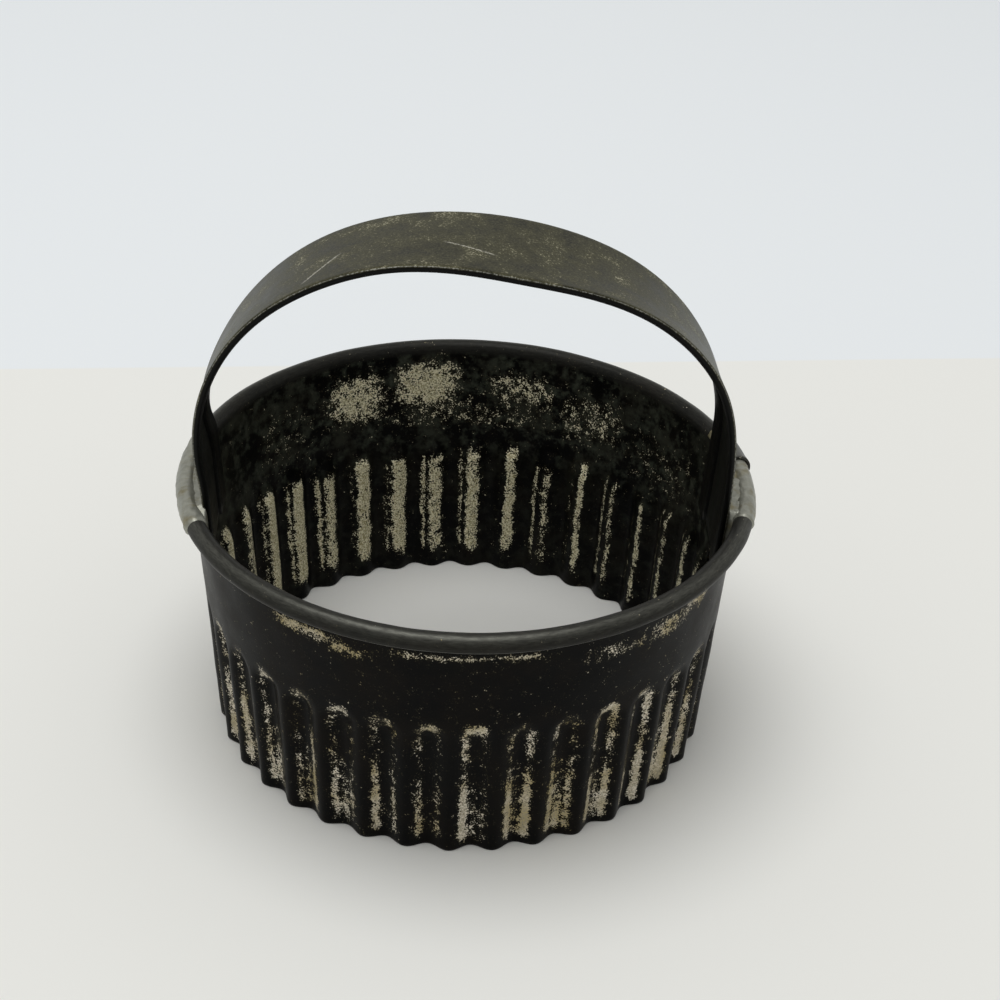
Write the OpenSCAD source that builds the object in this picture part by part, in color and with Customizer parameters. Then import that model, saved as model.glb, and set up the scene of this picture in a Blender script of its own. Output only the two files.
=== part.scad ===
// Fluted biscuit cutter in tinplate: a crimped ring with a wired rim and a soldered strap handle.
// Millimetres, +Z up. The origin is at the centre of the box, on the plane of the cutting edge.
// The handle spans X and the lap seam of the ring is at +X, behind the handle's leg.

/* [Ring] */
// Diameter over the wired rim
rim_diameter = 76.5; // [60:0.5:100]
// Height of the ring, from the cutting edge to the top of the rim
ring_height = 36.7; // [32:0.1:48]
// Thickness of the tinplate of the ring
sheet = 0.4; // [0.3:0.05:0.5]
// Lean of the wall: the cutting edge is narrower than the rim (degrees)
wall_draft = 4; // [0:0.5:6]

/* [Wired rim] */
// Diameter of the wire inside the rim
wire_diameter = 1.7; // [1.2:0.1:2.4]
// Clearance between the wire and the sheet curled over it
wire_fit = 0.02; // [0.01:0.01:0.05]
// How far the curl goes round the wire, from the neck over the top (degrees)
curl_sweep = 292; // [240:2:300]

/* [Flutes] */
// Number of flutes
flute_count = 37; // [28:1:44]
// Depth of a flute, from crest to valley
flute_depth = 1.2; // [0.6:0.1:1.5]
// Height at which the flutes have faded into the plain collar
flute_top = 21.8; // [14:0.2:24]
// Length over which a flute fades, in a rounded arch
flute_runout = 3.6; // [2:0.1:6]
// Direction of one flute's crest, from +X (degrees)
crest_angle = 0.35; // [0:0.05:9]

/* [Seam] */
// Clearance between the two layers of the lap
lap_gap = 0.02; // [0.01:0.01:0.05]
// Depth to which the seam's solder stays below the face of the outer layer
seam_recess = 0.05; // [0.02:0.01:0.15]
// Height of the seam's solder above the cutting edge
seam_start = 0.8; // [0.4:0.1:3]

/* [Handle] */
// Width of the strap
strap_width = 17.6; // [12:0.2:24]
// Thickness of the strap's sheet
strap_sheet = 0.4; // [0.3:0.05:0.5]
// Width of the hem folded under each long edge
hem_width = 4.5; // [3:0.1:6]
// Thickness over the round of a hem
hem_height = 1.06; // [0.9:0.02:1.3]
// Height of the top of the handle above the top of the rim
handle_rise = 33.8; // [26:0.2:45]
// How far the legs stand straight above the top of the rim
leg_stand = 2.6; // [2:0.2:6]
// How far the legs reach down inside the ring, below the top of the rim
leg_reach = 9.5; // [6:0.1:12]
// Turn of the whole handle about the ring's axis (degrees)
handle_turn = -3.2; // [-5:0.2:2]
// How far the handle is set off the ring's middle, across its length
handle_shift = -0.8; // [-1.2:0.1:0]
// How far the front edge of the right leg stands off the wall
leg_standoff = 0.5; // [0:0.1:0.8]

/* [Solder] */
// Thickness of the solder washed over the rim
wash_thickness = 0.14; // [0.08:0.01:0.25]
// Clearance kept between the solder and the pieces that it joins
solder_fit = 0.01; // [0.005:0.005:0.03]
// Clearance between the strap's legs and the ring
leg_fit = 0.12; // [0.1:0.01:0.2]
// Depth of the fillets beside the strap's edges
fillet_depth = 0.7; // [0.3:0.05:1]
// Angles by which the solder runs on past the strap: the left joint, front and rear (degrees)
left_front = 5.3; // [1:0.1:8]
left_rear = 3.3; // [1:0.1:8]
// The same at the right joint (degrees)
right_front = 1.2; // [1:0.1:8]
right_rear = 7; // [1:0.1:8]
// How far the wash goes down the outside of the rim, below its widest point (degrees)
wash_drop = 40; // [0:5:60]

/* [Hidden] */

tin = "#3b3b36";
bright_tin = "#8a8b84";
solder_grey = "#9a9b93";

round_facets = 148;
bead_facets = 48;

// The wired rim: the sheet is curled outward over the wire
curl_inside = wire_diameter / 2 + wire_fit;
bead_radius = curl_inside + sheet;
bead_ring = rim_diameter / 2 - bead_radius;
bead_height = ring_height - bead_radius;

// The lap: the upper layer lies inside the ring's wall, and so outside on the curl
lap_step = sheet + lap_gap;
over_inside = curl_inside + lap_step;

// Stations round the ring, eight to a flute. The strip starts at seam_station, where its upper
// layer is cut, steps down to the plain radius after the lap and ends below its own start.
flute_stations = 8;
station_count = flute_count * flute_stations;
station_angle = 360 / station_count;
seam_station = 2;
lap_stations = 5;
pocket_stations = 1;
joggle_start = seam_station + lap_stations + pocket_stations;
joggle_end = joggle_start + 1;
strip_end = station_count + seam_station + lap_stations;
function station(i) = crest_angle + i * station_angle;

// The fluted wall's ends stand this share of a station inside the collar's ends
cut_back = 0.03;

// Radius of the wall's two faces at a height. The wall is tangent to the curl.
wall_thickness = sheet / cos(wall_draft);
function face_radius(z, r) = bead_ring - r * cos(wall_draft)
    - (bead_height + r * sin(wall_draft) - z) * tan(wall_draft);
function outer_radius(z) = face_radius(z, curl_inside);
function inner_radius(z) = face_radius(z, bead_radius);

// Depth of the flutes at a station and height. A flute's top is a rounded arch, because the
// fade depends on the distance from the flute's centre line as well as on the height.
function fade(d) = (1 + cos(180 * min(1, d))) / 2;
function off_centre(i) = abs(((i / flute_stations) - floor(i / flute_stations)) * 2 - 1);
function climb(z) = max(0, z - (flute_top - flute_runout)) / flute_runout;
function valley(i, z) = flute_depth * fade(norm([off_centre(i), climb(z)]));

// Slope of the wall along the ring, which thickens it radially where the sheet runs askew
slope_step = 0.1;
function run(i) = outer_radius(0) * station_angle * slope_step * PI / 180;
function askew(i, z) = (valley(i + slope_step / 2, z) - valley(i - slope_step / 2, z)) / run(i);
function radial_sheet(i, z) = wall_thickness * sqrt(1 + pow(askew(i, z), 2));

// Share of the lap step that a station has: 1 on the upper layer, 0 on the plain wall
function lapped(i) = i <= joggle_start ? 1 : i >= joggle_end ? 0 : joggle_end - i;

// Outer and inner radius of the fluted wall. Its top is a tongue held in the collar's wall.
tongue = 0.5;
tongue_foot = 0.1;
tongue_inset = 0.1;
function inset(z) = z > flute_top - 1.5 * tongue_foot ? tongue_inset : 0;
function fluted_outer(i, z) = outer_radius(z) - valley(i, z) - inset(z)
    - lapped(i) * (radial_sheet(i, z) + lap_gap);
function fluted_inner(i, z) = fluted_outer(i, z) - radial_sheet(i, z) + 2 * inset(z);

// Heights at which the fluted wall is drawn, closer together where the flutes fade
fade_shares = [0, 0.22, 0.44, 0.64, 0.82];
wall_heights = concat([0], [for (s = fade_shares) flute_top - flute_runout * (1 - s)],
                      [flute_top - tongue_foot, flute_top + tongue]);

function polar(r, angle, z) = [r * cos(angle), r * sin(angle), z];

// The handle's legs lean with the wall, and their corners are clear of it and of the lap's upper
// layer. Angles and places here are in the handle's own frame, turned and shifted with it.
front_edge = strap_width / 2 - handle_shift;
rear_edge = strap_width / 2 + handle_shift;
lap_face = inner_radius(bead_height) - lap_step;
lap_end = min(station(joggle_end) - handle_turn, asin(rear_edge / lap_face));
leg_at_rim = min(sqrt(pow(inner_radius(bead_height), 2) - pow(max(front_edge, rear_edge), 2)),
                 lap_face * cos(lap_end)) - leg_fit;
leg_bottom = ring_height - leg_reach;
function leg_x(z) = leg_at_rim + (z - bead_height) * tan(wall_draft);

// Control points of the two long edges, bent by hand and not quite alike, from the left shoulder
// to the right one: share of the legs' distance from the middle, share of the handle's rise
front_arch = [[-1.04, 0.24], [-1.01, 0.53], [-0.8, 0.86], [-0.31, 1.07], [0.17, 0.98],
              [0.64, 0.89], [0.99, 0.54]];
rear_arch = [[-1.06, 0.2], [-0.91, 0.6], [-0.62, 0.9], [-0.14, 1.05], [0.46, 0.94],
             [0.85, 0.67], [1.02, 0.26]];

// Controls of an edge's smooth curve. Three on each leg keep it straight as far as the rim.
leg_controls = [for (k = [-1:1]) ring_height + k * leg_stand];
function controls(arch, standoff) = concat(
    [for (z = leg_controls) [-leg_x(z), z]],
    [for (p = arch) [p[0] * leg_at_rim, ring_height + p[1] * handle_rise]],
    [for (k = [1:-1:-1]) let (z = ring_height + k * leg_stand) [leg_x(z) - standoff, z]]);

// Point of a cubic B-spline on its stretch that starts at control point i, with t from 0 to 1
function spline(p, i, t) = (pow(1 - t, 3) * p[i] + (3 * pow(t, 3) - 6 * t * t + 4) * p[i + 1]
    + (3 * t + 3 * t * t - 3 * pow(t, 3) + 1) * p[i + 2] + pow(t, 3) * p[i + 3]) / 6;

// Path of one long edge of the strap's outer face: up the left leg, over the arch and down the
// right leg
arch_steps = 5;
function edge_path(arch, standoff) = let (p = controls(arch, standoff), n = len(p) - 3) concat(
    [[-leg_x(leg_bottom), leg_bottom]],
    [for (i = [0:n - 1]) for (k = [0:arch_steps - 1]) spline(p, i, k / arch_steps)],
    [spline(p, n - 1, 1), [leg_x(leg_bottom) - standoff, leg_bottom]]);

// Direction across the strap's thickness at each point of a path, towards the inside of the arch
function unit(v) = v / norm(v);
function path_normal(p, k) = let (d = unit(p[min(k + 1, len(p) - 1)] - p[max(k - 1, 0)]))
    [d[1], -d[0]];

// Section of the strap: across its width, and through its thickness from the outer face. Each
// long edge is folded under in a flat hem with a round fold, closed onto the strap at its end.
fold_radius = hem_height / 2;
fold_steps = 5;
function fold(side) = [for (k = [0:fold_steps]) let (a = 180 * k / fold_steps)
    [side * (strap_width / 2 - fold_radius + fold_radius * sin(a)), fold_radius * (1 - cos(a))]];
function hem_end(side) = [[side * (strap_width / 2 - hem_width), 2 * strap_sheet],
                          [side * (strap_width / 2 - hem_width), strap_sheet]];
function reversed(list) = [for (k = [len(list) - 1:-1:0]) list[k]];
strap_section = concat(fold(1), hem_end(1), reversed(concat(fold(-1), hem_end(-1))));

// Faces of a tube of rings, each with n points
function tube_sides(rings, n) = [for (j = [0:rings - 2]) for (k = [0:n - 1])
    let (a = j * n + k, b = j * n + (k + 1) % n) each [[a, b, b + n], [a, b + n, a + n]]];

// Its two ends, each as one outline
function outline_caps(rings, n) = [[for (k = [n - 1:-1:0]) k],
                                   [for (k = [0:n - 1]) (rings - 1) * n + k]];

// Its two ends where a ring's second half runs back beside the first, as strips of triangles
function strip_cap(first, n) = [for (k = [0:n / 2 - 2]) let (a = first + k, b = first + n - 1 - k)
    each [[a, a + 1, b - 1], [a, b - 1, b]]];
function strip_caps(rings, n) = concat([for (f = strip_cap(0, n)) reversed(f)],
                                       strip_cap((rings - 1) * n, n));

// The step between the two layers bites into both of them, and they into it (degrees). Its faces
// are a little inside theirs.
joggle_bite = 0.15;
layer_bite = 0.3;
joggle_trim = 0.02;

// Profile of the sheet above the flutes: the leaning collar and the curl round the wire.
// r is the radius of the sheet's near face from the wire's centre, and thick its thickness.
neck = 180 - wall_draft;

module sheet_profile(r, thick, trim = 0) {
    near = r + trim;
    far = r + thick - trim;
    foot = flute_top + trim;
    translate([bead_ring, bead_height])
        difference() {
            bead_circle(far);
            bead_circle(near);
            sector(2 * far, neck - curl_sweep + trim * 180 / PI, neck - 360);
        }
    polygon([
        [face_radius(foot, far), foot],
        [face_radius(foot, near), foot],
        [bead_ring - near * cos(wall_draft), bead_height + near * sin(wall_draft)],
        [bead_ring - far * cos(wall_draft), bead_height + far * sin(wall_draft)]
    ]);
}

module bead_circle(r) {
    rotate(-wall_draft) circle(r, $fn = bead_facets);
}

// A pointed sector between two directions, to cut away a part of a round profile
module sector(size, a, b) {
    polygon([
        [0, 0],
        size * [cos(a), sin(a)],
        size * [cos((a + b) / 2), sin((a + b) / 2)],
        size * [cos(b), sin(b)]
    ]);
}

module swept(from, to) {
    rotate([0, 0, from])
        rotate_extrude(angle = to - from, $fn = round_facets) children();
}

module fluted_wall() {
    stations = concat([seam_station + cut_back], [for (i = [seam_station + 1:strip_end - 1]) i],
                      [strip_end - cut_back]);
    rows = len(wall_heights);
    points = [for (i = stations) each concat(
        [for (z = wall_heights) polar(fluted_outer(i, z), station(i), z)],
        [for (z = reversed(wall_heights)) polar(fluted_inner(i, z), station(i), z)])];
    polyhedron(points, concat(tube_sides(len(stations), 2 * rows),
                              strip_caps(len(stations), 2 * rows)), convexity = 20);
}

module fluted_band() {
    color(tin) union() {
        fluted_wall();
        swept(station(seam_station), station(joggle_start) + layer_bite)
            sheet_profile(over_inside, sheet);
        swept(station(joggle_start) - joggle_bite, station(joggle_end) + joggle_bite)
            sheet_profile(curl_inside, sheet + lap_step, joggle_trim);
        swept(station(joggle_end) - layer_bite, station(strip_end))
            sheet_profile(curl_inside, sheet);
    }
}

module rim_wire() {
    color(bright_tin)
        rotate_extrude($fn = round_facets)
            translate([bead_ring, bead_height]) circle(wire_diameter / 2, $fn = bead_facets);
}

module handle_strap() {
    front = edge_path(front_arch, leg_standoff);
    rear = edge_path(rear_arch, 0);
    points = [for (k = [0:len(front) - 1]) for (s = strap_section) let (
        share = s[0] / strap_width + 0.5,
        edge = (1 - share) * front[k] + share * rear[k],
        inward = unit((1 - share) * path_normal(front, k) + share * path_normal(rear, k)),
        p = edge + s[1] * inward)
        [p[0], s[0], p[1]]];
    color(tin)
        rotate([0, 0, handle_turn])
            translate([0, handle_shift, 0])
                polyhedron(points, concat(tube_sides(len(front), len(strap_section)),
                                          outline_caps(len(front), len(strap_section))),
                           convexity = 10);
}

// Profile of a joint's solder: it fills the hollow between the leg and the ring's wall, and a
// thin wash of it runs over the rim. layer is the thickness of sheet that lies over the plain one.
fill_lift = 0.3;
fill_share = 0.6;
fill_depth = 2.4;
fill_bottom = leg_bottom + fill_lift;
fill_top = bead_height + bead_radius * fill_share;
wash_foot = 4;

module joint_profile(layer, wash, trim = 0) {
    face = bead_radius + layer + solder_fit;
    low = fill_bottom + trim;
    high = fill_top - trim;
    difference() {
        union() {
            polygon([
                [face_radius(low, face) - fill_depth, low],
                [face_radius(low, face), low],
                [bead_ring - face * cos(wall_draft), bead_height + face * sin(wall_draft)],
                [bead_ring - face / 2, high],
                [bead_ring - face - fill_depth, high]
            ]);
            if (wash)
                translate([bead_ring, bead_height])
                    difference() {
                        bead_circle(face + wash_thickness);
                        sector(3 * face, -wash_drop, neck - wash_foot - 360);
                    }
        }
        translate([bead_ring, bead_height]) bead_circle(face);
    }
}

// Room kept free of a joint's solder: the strap's leg, and the hollow of the ring up to a fillet
// on each side of the leg. The leg stands at +X, from y = -below to y = above. low and high are
// the angles where the solder ends.
function end_angle(edge) = asin(edge / bead_ring);

function fillet_end(angle) = let (r = inner_radius(bead_height) - wash_thickness)
    [r * cos(angle) - leg_at_rim, r * sin(angle)];
function fillet_line(corner, angle) = let (
    foot = [-fillet_depth, corner],
    end = fillet_end(angle),
    past = end + 2 * unit(end - foot))
    [foot, past, [-3 * fill_depth, past[1]]];

module leg_room(below, above, low, high) {
    tall = 4 * leg_reach;
    bottom_corner = -below - solder_fit;
    top_corner = above + solder_fit;
    translate([leg_at_rim, 0, bead_height])
        rotate([0, wall_draft, 0])
            translate([0, 0, -tall / 2])
                linear_extrude(tall)
                    polygon(concat(
                        reversed(fillet_line(bottom_corner, low)),
                        [[solder_fit, bottom_corner], [solder_fit, top_corner]],
                        fillet_line(top_corner, high)));
}

module handle_solder_left() {
    front = end_angle(front_edge) + left_front;
    rear = end_angle(rear_edge) + left_rear;
    color(solder_grey)
        rotate([0, 0, 180 + handle_turn])
            difference() {
                swept(-rear, front) joint_profile(0, true);
                leg_room(rear_edge, front_edge, -rear, front);
            }
}

// The right joint lies over the lap, whose upper layer stands proud of the rim and of the wall
module handle_solder_right() {
    front = end_angle(front_edge) + right_front;
    rear = end_angle(rear_edge) + right_rear;
    clear = joggle_bite + 0.1;
    bite = 0.2;
    lap_from = station(seam_station) - clear - handle_turn;
    lap_to = station(joggle_end) + clear - handle_turn;
    color(solder_grey)
        rotate([0, 0, handle_turn])
            difference() {
                union() {
                    swept(-front, lap_from) joint_profile(0, true);
                    swept(lap_from - bite, lap_to + bite)
                        joint_profile(lap_step, false, joggle_trim);
                    swept(lap_to, rear) joint_profile(0, true);
                }
                leg_room(front_edge, rear_edge, -front, rear);
            }
}

// Solder run down the lap's outer side, between the end of the lower layer and the step. It
// starts this share of a station clear of the lower layer's end.
pocket_gap = 0.06;

module seam_solder() {
    ends = [seam_station + lap_stations + pocket_gap, joggle_start];
    low = [for (z = wall_heights) if (z > seam_start && z < flute_top - tongue_foot) z];
    heights = concat([seam_start], low, [flute_top, bead_height - bead_radius]);
    rows = len(heights);
    points = [for (i = ends) each concat(
        [for (z = heights) polar(outer_radius(z) - valley(i, z) - seam_recess, station(i), z)],
        [for (z = reversed(heights))
            polar(outer_radius(z) - valley(i, z) - radial_sheet(i, z) - lap_gap + solder_fit,
                  station(i), z)])];
    color(solder_grey)
        polyhedron(points, concat(tube_sides(len(ends), 2 * rows), strip_caps(len(ends), 2 * rows)),
                   convexity = 6);
}

fluted_band();
rim_wire();
handle_strap();
handle_solder_left();
handle_solder_right();
seam_solder();
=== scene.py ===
import math

import bpy
from mathutils import Matrix, Vector, noise


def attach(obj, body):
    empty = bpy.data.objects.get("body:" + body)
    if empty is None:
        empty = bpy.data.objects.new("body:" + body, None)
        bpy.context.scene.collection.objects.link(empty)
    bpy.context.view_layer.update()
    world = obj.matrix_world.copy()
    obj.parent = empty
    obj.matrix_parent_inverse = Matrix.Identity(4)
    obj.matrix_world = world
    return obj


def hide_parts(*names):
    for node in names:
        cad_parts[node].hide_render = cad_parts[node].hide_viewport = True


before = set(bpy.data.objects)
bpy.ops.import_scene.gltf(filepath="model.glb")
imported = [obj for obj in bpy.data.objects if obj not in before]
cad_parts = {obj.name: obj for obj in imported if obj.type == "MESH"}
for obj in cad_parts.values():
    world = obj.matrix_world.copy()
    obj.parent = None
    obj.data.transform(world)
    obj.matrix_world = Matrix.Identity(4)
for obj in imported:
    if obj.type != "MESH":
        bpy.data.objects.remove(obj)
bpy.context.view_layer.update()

# Sizes in millimetres, as in the part's source
RIM_DIAMETER = 76.5
RING_HEIGHT = 36.7
SHEET = 0.4
WALL_DRAFT = 4.0
WIRE_DIAMETER = 1.7
WIRE_FIT = 0.02
CURL_SWEEP = 292.0
FLUTES = 37
FLUTE_DEPTH = 1.2
FLUTE_TOP = 21.8
FLUTE_RUNOUT = 3.6
CREST_ANGLE = 0.35
LAP_GAP = 0.02
SEAM_RECESS = 0.05
STRAP_WIDTH = 17.6
STRAP_SHEET = 0.4
HEM_WIDTH = 4.5
HEM_HEIGHT = 1.06
HANDLE_RISE = 33.8
LEG_STAND = 2.6
LEG_REACH = 9.5
HANDLE_TURN = -3.2
HANDLE_SHIFT = -0.8
LEG_STANDOFF = 0.5
LEG_FIT = 0.12
LEFT_SOLDER = (5.3, 3.3)
RIGHT_SOLDER = (1.2, 7.0)

# Control points of the strap's two long edges, as shares of the legs' distance and of the rise
FRONT_ARCH = [(-1.04, 0.24), (-1.01, 0.53), (-0.8, 0.86), (-0.31, 1.07), (0.17, 0.98),
              (0.64, 0.89), (0.99, 0.54)]
REAR_ARCH = [(-1.06, 0.2), (-0.91, 0.6), (-0.62, 0.9), (-0.14, 1.05), (0.46, 0.94),
             (0.85, 0.67), (1.02, 0.26)]

MM = 0.001
# For noise scales, which count features to a metre and are given here to a centimetre
PER_CM = 100


def cosd(a):
    return math.cos(math.radians(a))


def sind(a):
    return math.sin(math.radians(a))


def tand(a):
    return math.tan(math.radians(a))


def smooth(lo, hi, x):
    t = min(1.0, max(0.0, (x - lo) / (hi - lo)))
    return t * t * (3 - 2 * t)


def bump_at(x, centre, width):
    return math.exp(-((x - centre) / width) ** 2)


def turn(a, b):
    """Signed difference between two directions, in degrees."""
    return (a - b + 180) % 360 - 180


# The wired rim and the leaning wall
CURL_INSIDE = WIRE_DIAMETER / 2 + WIRE_FIT
BEAD_RADIUS = CURL_INSIDE + SHEET
BEAD_RING = RIM_DIAMETER / 2 - BEAD_RADIUS
BEAD_HEIGHT = RING_HEIGHT - BEAD_RADIUS
LAP_STEP = SHEET + LAP_GAP
NECK = 180 - WALL_DRAFT
RAW_EDGE = NECK - CURL_SWEEP


def face_radius(z, r):
    return (BEAD_RING - r * cosd(WALL_DRAFT)
            - (BEAD_HEIGHT + r * sind(WALL_DRAFT) - z) * tand(WALL_DRAFT))


# Stations round the ring, eight to a flute, from the cut end of the lap's upper layer
STATIONS = FLUTES * 8
SEAM_STATION = 2
JOGGLE_START = 8
STRIP_END = STATIONS + 7


def station_angle(i):
    return CREST_ANGLE + i * 360 / STATIONS


def lapped(i):
    return min(1.0, max(0.0, JOGGLE_START + 1 - i))


def valley(i, z):
    flute = i / 8
    across = abs((flute - math.floor(flute)) * 2 - 1)
    climb = max(0.0, z - (FLUTE_TOP - FLUTE_RUNOUT)) / FLUTE_RUNOUT
    return FLUTE_DEPTH * (1 + math.cos(math.pi * min(1.0, math.hypot(across, climb)))) / 2


def radial_sheet(i, z):
    step = 0.1
    run = face_radius(0, CURL_INSIDE) * math.radians(360 / STATIONS) * step
    slope = (valley(i + step / 2, z) - valley(i - step / 2, z)) / run
    return SHEET / cosd(WALL_DRAFT) * math.sqrt(1 + slope * slope)


def wobble(angle, z):
    """Small hand-made unevenness of the ring, in mm outward."""
    p = Vector((cosd(angle), sind(angle), z / 30))
    return 0.16 * noise.noise(p * 2.6) + 0.05 * noise.noise(p * 9)


def ring_point(r, angle, z):
    r += wobble(angle, z)
    return (r * cosd(angle), r * sind(angle), z)


# Building a piece: closed loops of points joined one after another
def enclosed(verts, faces):
    """Six times the volume inside closed faces, below zero where they are turned inward."""
    return sum(verts[f[0]].dot(verts[f[k]].cross(verts[f[k + 1]]))
               for f in faces for k in range(1, len(f) - 1))


def loft(name, loops, marks=None):
    """marks: mark name to one value per point, in the order of the loops."""
    n = len(loops[0])
    verts = [Vector(p) * MM for loop in loops for p in loop]
    faces = []
    count = len(loops)
    for j in range(count - 1):
        for k in range(n):
            a, b = j * n + k, j * n + (k + 1) % n
            faces.append((a, b, b + n, a + n))
    faces.append(tuple(reversed(range(n))))
    faces.append(tuple(range((count - 1) * n, count * n)))
    if enclosed(verts, faces) < 0:
        faces = [face[::-1] for face in faces]
    mesh = bpy.data.meshes.new(name)
    mesh.from_pydata(verts, [], faces)
    for mark, values in (marks or {}).items():
        layer = mesh.attributes.new(mark, "FLOAT", "POINT")
        layer.data.foreach_set("value", values)
    for poly in mesh.polygons:
        poly.use_smooth = True
    mesh.validate()
    piece = bpy.data.objects.new(name, mesh)
    bpy.context.scene.collection.objects.link(piece)
    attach(piece, "root")
    return piece


# Where the tin is left on the ring: direction and height of a patch, its reach each way and its
# strength
OUTSIDE_PATCHES = [
    (-129, 32.0, 7, 0.9, 0.9), (-119, 31.0, 5, 1.1, 0.55), (-100, 32.3, 13, 0.5, 0.6),
    (-84, 32.2, 5, 0.7, 0.7), (-62, 30.5, 9, 1.5, 0.35), (-50, 30.4, 6, 1.6, 0.62),
    (-40, 31.2, 5, 1.3, 0.6), (-28, 31.6, 5, 0.9, 0.45), (120, 31.0, 9, 1.4, 0.6),
    (60, 31.8, 14, 0.8, 0.55)]
INSIDE_PATCHES = [
    (112.5, 29.2, 7.6, 3.9, 0.74), (94.5, 30.2, 8.0, 3.7, 0.86), (72, 30.0, 8.5, 2.6, 0.55),
    (54, 27.6, 9, 3.6, 0.42), (84, 25.6, 24, 2.2, 0.34), (133, 27.0, 9, 4.5, 0.22),
    (30, 26.0, 14, 4.5, 0.2), (-60, 29.0, 12, 3.4, 0.7), (-100, 28.5, 13, 3.0, 0.6),
    (-140, 29.5, 11, 3.0, 0.5)]


def patches(places, angle, z):
    return max(strength * math.exp(-(turn(angle, a) / wide) ** 4 - ((z - h) / high) ** 4)
               for a, h, wide, high, strength in places)


def luck(i, streak):
    """A fixed value from 0 to 1 for each flute and each of its streaks."""
    return noise.cell(Vector((math.floor(i / 8) + 0.5, streak * 7.3 + 0.5, 2.5)))


def across_flute(i):
    """Place across a flute: 0 on the line of its valley, -1 and 1 on the crests beside it."""
    return (i / 8 - math.floor(i / 8)) * 2 - 1


def tin_outside(i, angle, z):
    """Two streaks down each groove, denser towards the edge, with a bright lip in its arch."""
    u = across_flute(i)
    chance = luck(i, 1 if u > 0 else 2)
    streak = bump_at(abs(u), 0.42, 0.2) * (0.72 + 0.5 * chance)
    low = 1 - smooth(3, 17, z)
    bare = 1 - 0.55 * bump_at(z, 14.0 + 3 * luck(i, 3), 2.2)
    between = (0.45 + 0.5 * luck(i, 8)) * bump_at(u, 0, 0.32) * low
    lip = (0.62 + 0.4 * luck(i, 4)) * bump_at(z, 20.5 - 2.2 * u * u, 1.1)
    lip *= 1 - smooth(0.3, 0.7, abs(u))
    grooved = 1 - smooth(19.2, 20.8, z)
    marks = max(streak * (0.74 + 0.5 * low) * bare * grooved, between, lip)
    return max(marks, patches(OUTSIDE_PATCHES, angle, z)) * smooth(0.5, 1.8, z)


def tin_inside(i, angle, z):
    """A wide pale stripe and a thin one on each rib, widest where the ring's left side is."""
    u = across_flute(i) + 0.1 * noise.noise(Vector((math.floor(i / 8), z / 1.7, 4.5)))
    left = smooth(38, 105, abs(turn(angle, 0)))
    wide = smooth(0.24 + 0.38 * left, 0.06 + 0.14 * left, abs(u + 0.12)) * (0.85 + 0.27 * left)
    wide *= 1 - 0.3 * smooth(0.1, 0.6, noise.noise(Vector((math.floor(i / 8), z / 1.3, 9.5))))
    thin = bump_at(u, 0.52, 0.12) * 0.85
    span = smooth(1.8, 3.2, z) * (1 - smooth(18.6, 20.8, z + 1.2 * luck(i, 5)))
    stripe = max(wide * (0.85 + 0.25 * luck(i, 6)), thin * (0.6 + 0.6 * luck(i, 7)))
    return max(stripe * span, patches(INSIDE_PATCHES, angle, z))


# The fluted ring, with its curl and its lap, as one strip of sheet
def wall_heights():
    low = [0.07, 0.5, 2, 4, 6, 8, 10, 12, 14, 16, 17.4]
    fade = [FLUTE_TOP - FLUTE_RUNOUT * (1 - k / 10) for k in range(11)]
    collar = [FLUTE_TOP + 0.5 + k * 0.9 for k in range(15)]
    return low + fade + [z for z in collar if z < BEAD_HEIGHT - 0.4]


# Marks of the ring's finish at each point: share of tin, of the curl's grey with its painted
# highlight band and of the inner side, the height in mm, and the share of bare metal
RING_MARKS = ("tin", "curl", "inner", "rise", "worn")
EDGE_BEVEL = 0.07
EDGE_WEAR = 0.15
END_FLARE = 0.16
# Directions on the curl's section, 0 outward and 90 up: the middle of its painted highlight and its
# bare line
PAINTED_HIGHLIGHT_AT = 58
BARE_AT = -48


def ring_section(i, heights, near_turns, far_turns):
    """The strip's section at a station: its points, each with its marks."""
    angle = station_angle(i)
    lift = lapped(i)
    flare = END_FLARE * lift * smooth(SEAM_STATION + 2.2, SEAM_STATION, i)
    near = CURL_INSIDE + LAP_STEP * lift
    rows = []

    def put(r, z, tin, curl, inner, worn=0.0):
        rows.append((ring_point(r, angle, z), (tin, curl, inner, z, worn)))

    def wall_radius(z):
        return face_radius(z, CURL_INSIDE) - valley(i, z) - lift * (radial_sheet(i, z) + LAP_GAP)

    def on_curl(r, phi, inner):
        grown = r + flare * smooth(120, 20, phi) * smooth(RAW_EDGE, -30, phi)
        # Share of the rim's grey: a little all round, and a band along the curl's top that is a
        # painted highlight
        rubbed = 0.22 + 0.78 * bump_at(phi, PAINTED_HIGHLIGHT_AT, 30)
        bare = 0.3 * lift * smooth(SEAM_STATION, SEAM_STATION + 0.6, i)
        put(BEAD_RING + grown * cosd(phi), BEAD_HEIGHT + grown * sind(phi), 0.0, rubbed, inner,
            max(bare, 0.7 * bump_at(phi, BARE_AT, 6)))

    for z in heights:
        put(wall_radius(z), z, tin_outside(i, angle, z), 0.0, 0.0)
    for phi in near_turns:
        on_curl(near, phi, 1.0)
    for phi in far_turns:
        on_curl(near + SHEET, phi, 0.0)
    for z in reversed(heights):
        put(wall_radius(z) - radial_sheet(i, z), z, tin_inside(i, angle, z), 0.0, 1.0)
    put(wall_radius(0) - radial_sheet(i, 0) + EDGE_BEVEL, 0, 0, 0, 1.0, EDGE_WEAR)
    put(wall_radius(0) - EDGE_BEVEL, 0, 0, 0, 0.0, EDGE_WEAR)
    return rows


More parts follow.
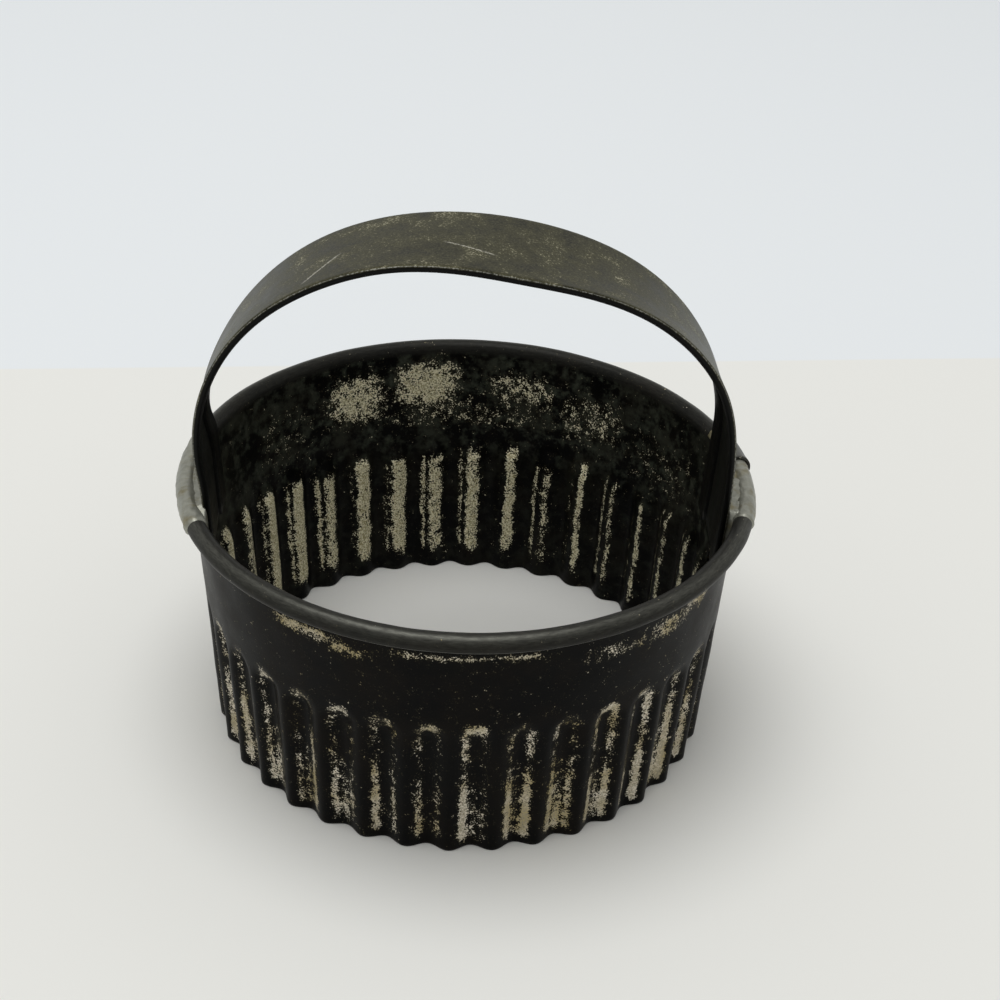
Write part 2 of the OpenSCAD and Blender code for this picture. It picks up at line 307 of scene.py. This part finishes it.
def ring_strip(name):
    heights = wall_heights()
    near_turns = [NECK - CURL_SWEEP * k / 14 for k in range(15)]
    far_turns = [RAW_EDGE + CURL_SWEEP * k / 40 for k in range(41)]
    loops, marks = [], {key: [] for key in RING_MARKS}
    for s in range((STRIP_END - SEAM_STATION) * 2 + 1):
        rows = ring_section(SEAM_STATION + s / 2, heights, near_turns, far_turns)
        loops.append([point for point, values in rows])
        for point, values in rows:
            for key, value in zip(RING_MARKS, values):
                marks[key].append(value)
    return loft(name, loops, marks)


# The strap of the handle, in its own frame: turned and shifted against the ring
FRONT_EDGE = STRAP_WIDTH / 2 - HANDLE_SHIFT
REAR_EDGE = STRAP_WIDTH / 2 + HANDLE_SHIFT


def arcsin(share):
    return math.degrees(math.asin(share))


def leg_at_rim():
    wall = face_radius(BEAD_HEIGHT, BEAD_RADIUS)
    lap_end = min(station_angle(JOGGLE_START + 1) - HANDLE_TURN,
                  arcsin(REAR_EDGE / (wall - LAP_STEP)))
    free = math.sqrt(wall ** 2 - max(FRONT_EDGE, REAR_EDGE) ** 2)
    return min(free, (wall - LAP_STEP) * cosd(lap_end)) - LEG_FIT


LEG_AT_RIM = leg_at_rim()
LEG_BOTTOM = RING_HEIGHT - LEG_REACH


def leg_x(z):
    return LEG_AT_RIM + (z - BEAD_HEIGHT) * tand(WALL_DRAFT)


def spline(p, i, t):
    weights = ((1 - t) ** 3, 3 * t ** 3 - 6 * t * t + 4, 3 * t + 3 * t * t - 3 * t ** 3 + 1, t ** 3)
    return sum((w / 6 * p[i + k] for k, w in enumerate(weights)), Vector((0, 0)))


def edge_path(arch, standoff):
    """A long edge of the strap in x and z: straight legs and a smooth arch between them."""
    leg = [RING_HEIGHT + k * LEG_STAND for k in (-1, 0, 1)]
    points = [Vector((-leg_x(z), z)) for z in leg]
    points += [Vector((x * LEG_AT_RIM, RING_HEIGHT + z * HANDLE_RISE)) for x, z in arch]
    points += [Vector((leg_x(z) - standoff, z)) for z in reversed(leg)]
    foot = [LEG_BOTTOM + (RING_HEIGHT - LEG_BOTTOM) * k / 8 for k in range(8)]
    steps = 15
    path = [Vector((-leg_x(z), z)) for z in foot]
    path += [spline(points, i, k / steps) for i in range(len(points) - 3) for k in range(steps)]
    path.append(Vector((leg_x(RING_HEIGHT) - standoff, RING_HEIGHT)))
    return path + [Vector((leg_x(z) - standoff, z)) for z in reversed(foot)]


def inward(path, k):
    along = path[min(k + 1, len(path) - 1)] - path[max(k - 1, 0)]
    return Vector((along.y, -along.x)).normalized()


def from_handle(x, y, z):
    """A point of the handle's own frame in the ring's frame."""
    y += HANDLE_SHIFT
    c, s = cosd(HANDLE_TURN), sind(HANDLE_TURN)
    return (x * c - y * s, x * s + y * c, z)


def strap_section():
    """Points across and down through the strap, each with a mark for the round of the fold: flat
    face, round folds and hems pressed flat underneath."""
    r = HEM_HEIGHT / 2
    half = STRAP_WIDTH / 2
    side = [(half - HEM_WIDTH - 0.3, 0.0, 0), (half - r - 0.4, 0.0, 0)]
    for k in range(9):
        a = 180 * k / 8
        side.append((half - r + r * sind(a), r * (1 - cosd(a)), 1 if k == 2 else 0))
    flange = [(half - r - 0.7, HEM_HEIGHT - 0.02), (half - HEM_WIDTH * 0.6, HEM_HEIGHT - 0.13),
              (half - HEM_WIDTH + 0.12, 2 * STRAP_SHEET + 0.03),
              (half - HEM_WIDTH, 2 * STRAP_SHEET - 0.06), (half - HEM_WIDTH, STRAP_SHEET + 0.06),
              (half - HEM_WIDTH - 0.08, STRAP_SHEET)]
    side += [(y, d, 0) for y, d in flange]
    underside = [(0.0, STRAP_SHEET, 0)]
    other_side = [(-y, d, e) for y, d, e in reversed(side)]
    face = [(y, 0.0, 0) for y in (-half / 3, 0.0, half / 3)]
    return side + underside + other_side + face


# Marks of the strap's finish at each point: the upper face, the round of the fold, and the
# places along and across the strap in mm
STRAP_MARKS = ("outer", "fold", "along", "across")


def strap_piece(name):
    section = strap_section()
    front, rear = edge_path(FRONT_ARCH, LEG_STANDOFF), edge_path(REAR_ARCH, 0.0)
    loops = []
    marks = {key: [] for key in STRAP_MARKS}
    length = 0.0
    for k in range(len(front)):
        here = (front[k] + rear[k]) / 2
        length += (here - (front[k - 1] + rear[k - 1]) / 2).length if k else 0.0
        loop = []
        for y, depth, on_fold in section:
            share = y / STRAP_WIDTH + 0.5
            across = inward(front, k).lerp(inward(rear, k), share).normalized()
            ripple = 0.10 * noise.noise(Vector((here.x / 14, here.y / 14, y / 9)))
            p = front[k].lerp(rear[k], share) + across * (depth + ripple)
            loop.append(from_handle(p.x, y, p.y))
            outer = 1.0 if depth < 0.3 else 0.0
            for key, value in zip(STRAP_MARKS, (outer, float(on_fold), length, y)):
                marks[key].append(value)
        loops.append(loop)
    return loft(name, loops, marks)


# Solder. The wash's skirts are given as directions on the bead's section
WASH_START = -58
WASH_END = 178
WASH_SINK = 0.06
WASH_THICKNESS = 0.19
FILL_TOP = 35.6
FILL_CLEARANCE = 0.06
# Height of the lumps in the hollow top of each fill, left and right
FILL_LUMPS = {-1: 0.08, 1: 0.3}


def corners(side):
    """Directions of the leg's two edges at the rim, as seen from the middle."""
    front, rear = arcsin(FRONT_EDGE / BEAD_RING), arcsin(REAR_EDGE / BEAD_RING)
    return (-rear, front) if side < 0 else (-front, rear)


def joint_angles(side):
    lo, hi = corners(side)
    if side < 0:
        return lo - LEFT_SOLDER[1], hi + LEFT_SOLDER[0]
    return lo - RIGHT_SOLDER[0], hi + RIGHT_SOLDER[1]


def joint_wash(name, side):
    """Thin skin of solder over the rim. Its edge dips into the sheet, so that it ends softly."""
    lo, hi = joint_angles(side)
    base = HANDLE_TURN + (180 if side < 0 else 0)
    turns = [WASH_START + (WASH_END - WASH_START) * k / 44 for k in range(45)]
    loops = []
    steps = 90
    for k in range(steps + 1):
        a = lo - 0.5 + (hi - lo + 1.0) * k / steps
        ends = smooth(lo - 0.4, lo + 0.9, a) * (1 - smooth(hi - 0.9, hi + 0.4, a))
        # Two ripples at the left wash's front end, one low swell and a break at the lap at right
        ridge = 0.13 * (bump_at(a, hi - 0.6, 0.3) + 0.8 * bump_at(a, hi - 1.5, 0.28))
        if side > 0:
            ridge = 0.05 * bump_at(a, lo + 0.7, 0.4)
            start, end = station_angle(2) - HANDLE_TURN, station_angle(9) - HANDLE_TURN
            lap = smooth(start - 0.2, start, a)
            ends *= 1 - lap * (1 - smooth(end, end + 0.5, a))
            ridge *= 1 - lap
        outer, inner = [], []
        for phi in turns:
            skirt = smooth(WASH_START, WASH_START + 24, phi)
            skirt *= 1 - smooth(WASH_END - 12, WASH_END - 1, phi)
            grain = noise.noise(Vector((a / 2.1, phi / 26, 3.7 + side)))
            fine = noise.noise(Vector((a * 1.3, phi / 7, 9.1 + side)))
            t = -WASH_SINK + skirt * ends * (WASH_THICKNESS + 0.09 * grain + 0.035 * fine + ridge)
            r = BEAD_RADIUS + t
            outer.append(ring_point(BEAD_RING + r * cosd(phi), base + a,
                                    BEAD_HEIGHT + r * sind(phi)))
            r = BEAD_RADIUS - 0.2
            inner.append(ring_point(BEAD_RING + r * cosd(phi), base + a,
                                    BEAD_HEIGHT + r * sind(phi)))
        loops.append(outer + inner[::-1])
    return loft(name, loops)


def joint_fill(name, side):
    """Solder behind a leg, with a fillet at each edge of the strap and a hollow top."""
    lo, hi = joint_angles(side)
    base = HANDLE_TURN + (180 if side < 0 else 0)
    low_corner, high_corner = corners(side)
    bottom = LEG_BOTTOM + 0.3
    heights = [bottom + (FILL_TOP - bottom) * k / 12 for k in range(13)]
    loops = []
    steps = 80
    for k in range(steps + 1):
        a = lo + (hi - lo) * k / steps
        # Past the strap's edges the solder runs out in a fillet
        past = max(0.0, a - high_corner, low_corner - a)
        room = hi - high_corner if a > 0 else low_corner - lo
        fillet = max(0.0, 1 - past / (room * 0.9)) ** 1.6
        beside = smooth(0.0, 0.35, past)
        loop = []
        for z in heights:
            wall = face_radius(z, BEAD_RADIUS)
            lump = 0.16 * noise.noise(Vector((a / 1.6, z / 1.3, 5 + side)))
            off = 0.0
            if side > 0:
                off = LEG_STANDOFF * min(1.0, max(0.0, (REAR_EDGE - wall * sind(a)) / STRAP_WIDTH))
            behind = (leg_x(z) - off - FILL_CLEARANCE) / cosd(a)
            free = wall - (1.0 + lump) * fillet * smooth(bottom, bottom + 3, z)
            free += FILL_CLEARANCE * (1 - fillet)
            r = min(wall + 0.1, behind * (1 - beside) + free * beside)
            loop.append(ring_point(r, base + a, z))
        # The top dips between the leg and the rim
        top_z = RING_HEIGHT - 0.15 + 0.25 * fillet
        r_in = min(face_radius(BEAD_HEIGHT, BEAD_RADIUS),
                   (leg_x(36.5) - off - FILL_CLEARANCE) / cosd(a) * (1 - beside)
                   + (face_radius(36, BEAD_RADIUS) - 0.75 * fillet) * beside)
        bead_phi = 112
        r_out = BEAD_RING + (BEAD_RADIUS - 0.05) * cosd(bead_phi)
        z_out = BEAD_HEIGHT + (BEAD_RADIUS - 0.05) * sind(bead_phi)
        for s in range(9):
            u = s / 8
            sag = math.sin(math.pi * u)
            lump = FILL_LUMPS[side] * noise.noise(Vector((a / 1.5, u * 3, 8 + side))) * sag
            z = top_z * (1 - u) + z_out * u - 0.12 * sag + lump
            if fillet < 1:
                z = z * fillet + (BEAD_HEIGHT - 0.2) * (1 - fillet)
            loop.append(ring_point(r_in * (1 - u) + r_out * u, base + a, z))
        for z in (35.0, 33.0, 31.0, 29.0, bottom):
            loop.append(ring_point(face_radius(z, BEAD_RADIUS) + 0.15, base + a, z))
        loops.append(loop)
    return loft(name, loops)


def seam_bead(name):
    """Solder run down the lap between the lower layer's end and the step."""
    low = [0.8 + 33.2 * k / 40 for k in range(41)]
    across = [6.95, 7.2, 7.45, 7.7, 7.95, 8.2]
    loops = []
    for z in low:
        loop = []
        for i in across:
            u = (i - 6.95) / 1.25
            sag = 0.05 * noise.noise(Vector((z / 1.1, i, 1.5)))
            r = face_radius(z, CURL_INSIDE) - valley(i, z) - SEAM_RECESS * 4 * u * (1 - u) + sag
            loop.append(ring_point(r - 0.03, station_angle(i), z))
        for i in reversed(across):
            r = face_radius(z, CURL_INSIDE) - valley(i, z) - LAP_STEP - 0.03
            loop.append(ring_point(r, station_angle(i), z))
        loops.append(loop[::-1])
    return loft(name, loops)


# Finishes
def linear(hex_colour):
    """sRGB hex to linear, with alpha 1."""
    parts = [int(hex_colour[k:k + 2], 16) / 255 for k in (1, 3, 5)]
    return tuple(c / 12.92 if c <= 0.04045 else ((c + 0.055) / 1.055) ** 2.4 for c in parts) + (1,)


def add(tree, kind, inputs=(), out=0, **settings):
    """Adds a node and gives one of its outputs. Inputs go by place or, in a dict, by number or
    name. One that is given as a socket is linked, and any other is set."""
    made = tree.nodes.new("ShaderNode" + kind)
    for key, value in settings.items():
        setattr(made, key, value)
    for key, value in inputs.items() if isinstance(inputs, dict) else enumerate(inputs):
        if isinstance(value, bpy.types.NodeSocket):
            tree.links.new(value, made.inputs[key])
        else:
            made.inputs[key].default_value = value
    return made.outputs[out] if made.outputs else None


# Settings that come often. In a mix of two colours, input 0 is the share of the second, and
# inputs 6 and 7 are the colours. A map from one range to another takes the value, the first
# range and, where it isn't 0 to 1, the second.
COLOURS = {"out": 2, "data_type": "RGBA"}
PRODUCT = {"operation": "MULTIPLY"}
SCALED_SUM = {"operation": "MULTIPLY_ADD"}


def new_material(name):
    material = bpy.data.materials.new(name)
    material.use_nodes = True
    material.node_tree.nodes.clear()
    return material, material.node_tree


def scratch(tree, run, off, start, end, width):
    """A scratch from start to end, each given as a place along run and one along off."""
    line = add(tree, "MapRange", (run, start[0], end[0], start[1], end[1]))
    gap = add(tree, "Math", (off, line), operation="SUBTRACT")
    gap = add(tree, "Math", (gap,), operation="ABSOLUTE")
    middle, half = (start[0] + end[0]) / 2, abs(end[0] - start[0]) / 2
    reach = add(tree, "Math", (run, middle), operation="SUBTRACT")
    reach = add(tree, "Math", (reach,), operation="ABSOLUTE")
    near = add(tree, "MapRange", (gap, width, width * 0.3))
    within = add(tree, "MapRange", (reach, half, half * 0.7))
    return add(tree, "Math", (near, within), **PRODUCT)


def rubbed_rim(tree, place):
    """The rim's dull grey, with fine marks of rubbing drawn out six times along the ring."""
    axes = add(tree, "SeparateXYZ", (place,)).node.outputs
    angle = add(tree, "Math", (axes["Y"], axes["X"]), operation="ARCTAN2")
    round_the_ring = add(tree, "Math", (angle, BEAD_RING * MM / 6), **PRODUCT)
    squared = add(tree, "Math", (axes["X"], axes["X"]), **PRODUCT)
    squared = add(tree, "Math", (axes["Y"], axes["Y"], squared), **SCALED_SUM)
    radius = add(tree, "Math", (squared, 0.5), operation="POWER")
    drawn_out = add(tree, "CombineXYZ", (radius, round_the_ring, axes["Z"]))
    marks = add(tree, "TexNoise",
                {"Vector": drawn_out, "Scale": 52 * PER_CM, "Detail": 3.0, "Roughness": 0.65})
    brushed = add(tree, "MapRange", (marks, 0.3, 0.7))
    return add(tree, "Mix", {0: brushed, 6: linear("#3f3f3b"), 7: linear("#5b5b55")}, **COLOURS)


def aged_tinplate():
    """Tinplate whose tin has worn and darkened: black oxide under baked-on oil, satin like an
    old baking tin, with specks of pale tin left where nothing rubs it."""
    material, tree = new_material("aged_tinplate")
    place = add(tree, "TexCoord", out="Object")
    mark = {key: add(tree, "Attribute", out="Fac", attribute_name=key) for key in RING_MARKS}
    # Grains of tin about 0.2 mm across, clusters of them of about 1 mm, stains of about 6 mm and
    # the haze's clouds of about 1.6 mm
    grains, clusters, stain, soft = [
        add(tree, "TexNoise", {"Vector": place, "Scale": count * PER_CM, "Detail": detail,
                               "Roughness": rough})
        for count, detail, rough in ((43, 2, 0.6), (9.5, 2, 0.6), (1.7, 4, 0.6), (6.2, 4, 0.65))]
    speckle = add(tree, "Math", (clusters, 0.7, grains), **SCALED_SUM)
    level = add(tree, "Math", (mark["tin"], 0.5, speckle), **SCALED_SUM)
    tin = add(tree, "MapRange", (level, 1.13, 1.21))
    brown = add(tree, "MapRange", (stain, 0.42, 0.62))

    # The dark skin, with a grey-green haze inside the collar and a brown edge round the tin
    patina = add(tree, "Mix", {0: brown, 6: linear("#060606"), 7: linear("#0f0c09")}, **COLOURS)
    grey_green = add(tree, "Mix", {0: brown, 6: linear("#5a6053"), 7: linear("#393b32")}, **COLOURS)
    haze = add(tree, "Math", (stain, 0.8, soft), **SCALED_SUM)
    haze = add(tree, "MapRange", (haze, 0.84, 1.1, 0.0, 0.6))
    on_collar = add(tree, "MapRange", (mark["rise"], FLUTE_TOP - FLUTE_RUNOUT, FLUTE_TOP + 1, 0.25))
    haze = add(tree, "Math", (haze, on_collar), **PRODUCT)
    haze = add(tree, "Math", (haze, mark["inner"]), **PRODUCT)
    patina = add(tree, "Mix", {0: haze, 6: patina, 7: grey_green}, **COLOURS)
    near_tin = add(tree, "MapRange", (level, 1.0, 1.16, 0.0, 0.5))
    patina = add(tree, "Mix", {0: near_tin, 6: patina, 7: linear("#4a4632")}, **COLOURS)
    # On the curl, the rim's grey is laid on by the curl mark. Its band along the top is a painted
    # highlight
    dark = add(tree, "Mix", {0: mark["curl"], 6: patina, 7: rubbed_rim(tree, place)}, **COLOURS)

    # The tin, and the bare metal of edges
    fine = add(tree, "MapRange", (grains, 0.4, 0.62))
    outside = add(tree, "Mix", {0: brown, 6: linear("#e6decd"), 7: linear("#b5a67c")}, **COLOURS)
    outside = add(tree, "Mix", {0: fine, 6: linear("#a09882"), 7: outside}, **COLOURS)
    inside = add(tree, "Mix", {0: fine, 6: linear("#a0976e"), 7: linear("#f0eacd")}, **COLOURS)
    pale = add(tree, "Mix", {0: mark["inner"], 6: outside, 7: inside}, **COLOURS)
    colour = add(tree, "Mix", {0: tin, 6: dark, 7: pale}, **COLOURS)
    colour = add(tree, "Mix", {0: mark["worn"], 6: colour, 7: linear("#a2a29c")}, **COLOURS)

    rough = add(tree, "MapRange", (stain, 0.3, 0.7, 0.32, 0.46))
    rough = add(tree, "Math", (tin, 0.2, rough), **SCALED_SUM)
    metal = add(tree, "Math", (mark["curl"], 0.8), **PRODUCT)
    bump = add(tree, "Bump", {"Height": speckle, "Strength": 0.15, "Distance": 0.08 * MM})
    shader = add(tree, "BsdfPrincipled",
                 {"Base Color": colour, "Roughness": rough, "Metallic": metal, "Normal": bump,
                  "Specular IOR Level": 0.06})
    add(tree, "OutputMaterial", {"Surface": shader})
    return material


def strap_tinplate():
    """The same tinplate on the strap, rubbed by hands to an even olive grey with fine scratches
    and pale specks, and bare along the round of the hems."""
    material, tree = new_material("hand_worn_tinplate")
    place = add(tree, "TexCoord", out="Object")
    mark = {key: add(tree, "Attribute", out="Fac", attribute_name=key) for key in STRAP_MARKS}
    # Grains under 0.3 mm across, in clouds of about 4 mm
    grains, clouds = [
        add(tree, "TexNoise", {"Vector": place, "Scale": count * PER_CM, "Detail": detail,
                               "Roughness": 0.7})
        for count, detail in ((36, 3), (2.6, 5))]
    share = add(tree, "MapRange", (clouds, 0.36, 0.66))
    body = add(tree, "Mix", {0: share, 6: linear("#222217"), 7: linear("#4a4834")}, **COLOURS)
    share = add(tree, "MapRange", (grains, 0.42, 0.7, 0.0, 0.5))
    body = add(tree, "Mix", {0: share, 6: body, 7: linear("#67644e")}, **COLOURS)
    specks = add(tree, "Math", (clouds, 0.9, grains), **SCALED_SUM)
    specks = add(tree, "MapRange", (specks, 1.08, 1.2, 0.0, 0.8))
    body = add(tree, "Mix", {0: specks, 6: body, 7: linear("#a8a48c")}, **COLOURS)

    # Two scratches on the top, one across the strap and one along it, in mm
    crossing = scratch(tree, mark["across"], mark["along"], (-6.8, 47.0), (-0.4, 50.0), 0.3)
    lengthwise = scratch(tree, mark["along"], mark["across"], (63.0, -1.2), (71.0, -3.6), 0.2)
    cuts = add(tree, "Math", (crossing, lengthwise), operation="MAXIMUM")
    broken = add(tree, "MapRange", (grains, 0.36, 0.56))
    cuts = add(tree, "Math", (cuts, broken), **PRODUCT)
    body = add(tree, "Mix", {0: cuts, 6: body, 7: linear("#b4b1a4")}, **COLOURS)

    # The back: black oxide, with the hems painted blacker than the strip between them as painted
    # shade, and the rubbed round of the hems
    from_middle = add(tree, "Math", (mark["across"],), operation="ABSOLUTE")
    between = add(tree, "MapRange", (from_middle, HEM_WIDTH - 0.4, HEM_WIDTH - 0.6))
    back = add(tree, "Mix", {0: between, 6: linear("#070706"), 7: linear("#121310")}, **COLOURS)
    colour = add(tree, "Mix", {0: mark["outer"], 6: back, 7: body}, **COLOURS)
    rubbed = add(tree, "Math", (mark["fold"], 0.5, grains), **SCALED_SUM)
    rubbed = add(tree, "MapRange", (rubbed, 0.86, 0.98, 0.0, 0.8))
    colour = add(tree, "Mix", {0: rubbed, 6: colour, 7: linear("#8c8c86")}, **COLOURS)

    rough = add(tree, "MapRange", (clouds, 0.3, 0.7, 0.34, 0.5))
    metal = add(tree, "Math", (mark["outer"], 0.35), **PRODUCT)
    bump = add(tree, "Bump", {"Height": grains, "Strength": 0.12, "Distance": 0.06 * MM})
    shader = add(tree, "BsdfPrincipled",
                 {"Base Color": colour, "Roughness": rough, "Metallic": metal, "Normal": bump,
                  "Specular IOR Level": 0.12})
    add(tree, "OutputMaterial", {"Surface": shader})
    return material


def soft_solder():
    """Tin and lead solder, wiped on by hand: dull pale grey, lumpy, with yellow flux stains."""
    material, tree = new_material("soft_solder")
    place = add(tree, "TexCoord", out="Object")
    # Lumps of about 1 mm and stains of about 3 mm
    lumps, stain = [
        add(tree, "TexNoise", {"Vector": place, "Scale": count * PER_CM, "Detail": detail,
                               "Roughness": 0.6})
        for count, detail in ((9, 4), (3.3, 3))]
    grey = add(tree, "Mix", {0: lumps, 6: linear("#6f7067"), 7: linear("#b2b2a6")}, **COLOURS)
    share = add(tree, "MapRange", (stain, 0.5, 0.68))
    colour = add(tree, "Mix", {0: share, 6: grey, 7: linear("#7d7556")}, **COLOURS)
    bump = add(tree, "Bump", {"Height": lumps, "Strength": 0.35, "Distance": 0.1 * MM})
    shader = add(tree, "BsdfPrincipled",
                 {"Base Color": colour, "Roughness": 0.42, "Metallic": 0.6, "Normal": bump})
    add(tree, "OutputMaterial", {"Surface": shader})
    return material


def drawn_wire():
    """Iron wire inside the rim, dull grey from drawing, hardly seen."""
    material, tree = new_material("drawn_iron_wire")
    place = add(tree, "TexCoord", out="Object")
    grain = add(tree, "TexNoise", {"Vector": place, "Scale": 12 * PER_CM})
    colour = add(tree, "Mix", {0: grain, 6: linear("#4a4743"), 7: linear("#6b6762")}, **COLOURS)
    shader = add(tree, "BsdfPrincipled",
                 {"Base Color": colour, "Roughness": 0.45, "Metallic": 0.8})
    add(tree, "OutputMaterial", {"Surface": shader})
    return material


# The pieces
tinplate = aged_tinplate()
strap_metal = strap_tinplate()
solder = soft_solder()

ring = ring_strip("ring_strip")
ring.data.materials.append(tinplate)
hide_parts("fluted_band")

strap = strap_piece("strap_loop")
strap.data.materials.append(strap_metal)
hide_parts("handle_strap")

for side, word in ((-1, "left"), (1, "right")):
    wash = joint_wash("solder_wash_" + word, side)
    fill = joint_fill("solder_fill_" + word, side)
    for piece in (wash, fill):
        piece.data.materials.append(solder)
        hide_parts("handle_solder_" + word)

seam = seam_bead("seam_run")
seam.data.materials.append(solder)
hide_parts("seam_solder")

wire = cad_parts["rim_wire"]
wire.data.materials.clear()
wire.data.materials.append(drawn_wire())


# Table, light and camera
TABLE_HALF = 4000
TABLE_END = 96.5
TABLE_DROP = 0.05


def table_top():
    """Plain pale table, with a slightly cooler ground behind it."""
    material, tree = new_material("pale_table")
    place = add(tree, "TexCoord", out="Object")
    y = add(tree, "SeparateXYZ", (place,), "Y")
    behind = add(tree, "MapRange", (y, TABLE_END * MM, (TABLE_END + 0.7) * MM))
    colour = add(tree, "Mix", {0: behind, 6: linear("#eeeeea"), 7: linear("#ecf0f3")}, **COLOURS)
    shader = add(tree, "BsdfPrincipled",
                 {"Base Color": colour, "Roughness": 0.75, "Specular IOR Level": 0.2})
    add(tree, "OutputMaterial", {"Surface": shader})
    mesh = bpy.data.meshes.new("table_top")
    s = TABLE_HALF * MM
    mesh.from_pydata([(-s, -s, 0), (s, -s, 0), (s, s, 0), (-s, s, 0)], [], [(0, 1, 2, 3)])
    mesh.materials.append(material)
    table = bpy.data.objects.new("table_top", mesh)
    bpy.context.scene.collection.objects.link(table)
    table.location.z = -TABLE_DROP * MM


def soft_light(name, place, aim, size, power):
    """Round lamp of a size in mm at a place, turned to what it lights."""
    lamp = bpy.data.lights.new(name, "AREA")
    lamp.shape = "DISK"
    lamp.size = size * MM
    lamp.energy = power
    holder = bpy.data.objects.new(name, lamp)
    bpy.context.scene.collection.objects.link(holder)
    holder.location = [c * MM for c in place]
    away = Vector(place) - Vector(aim)
    holder.rotation_euler = away.to_track_quat("Z", "Y").to_euler()


table_top()
soft_light("window_light", place=(-120, -20, 1100), aim=(0, 0, 20), size=900, power=6.4)

# Even light from all round, a little stronger from behind
world = bpy.data.worlds.new("room_light")
world.use_nodes = True
room = world.node_tree
room.nodes.clear()
direction = add(room, "TexCoord", out="Generated")
to_back = add(room, "SeparateXYZ", (direction,), "Y")
strength = add(room, "MapRange", (to_back, -0.8, 0.8, 0.4, 0.58))
glow = add(room, "Background", {"Color": (1.0, 1.0, 0.98, 1.0), "Strength": strength})
add(room, "OutputWorld", {"Surface": glow})
bpy.context.scene.world = world

# The camera stands above the front and a little to the left. Its place is in mm, its angles in
# degrees
lens = bpy.data.cameras.new("photo_camera")
lens.sensor_width = 36.0
lens.lens = 76.27
lens.clip_start = 0.01
lens.clip_end = 20.0
camera = bpy.data.objects.new("photo_camera", lens)
bpy.context.scene.collection.objects.link(camera)
CAMERA_PLACE = (-24.875, -238.791, 183.346)
pitch, pan, roll = 32.161, 7.024, 2.734
forward = Vector((sind(pan) * cosd(pitch), cosd(pan) * cosd(pitch), -sind(pitch)))
level = Vector((cosd(pan), -sind(pan), 0.0))
upright = level.cross(forward)
right = cosd(roll) * level + sind(roll) * upright
up = -sind(roll) * level + cosd(roll) * upright
turned = Matrix((right, up, -forward)).transposed().to_4x4()
camera.matrix_world = Matrix.Translation(Vector(CAMERA_PLACE) * MM) @ turned
bpy.context.scene.camera = camera

bpy.context.scene.view_settings.view_transform = "Standard"
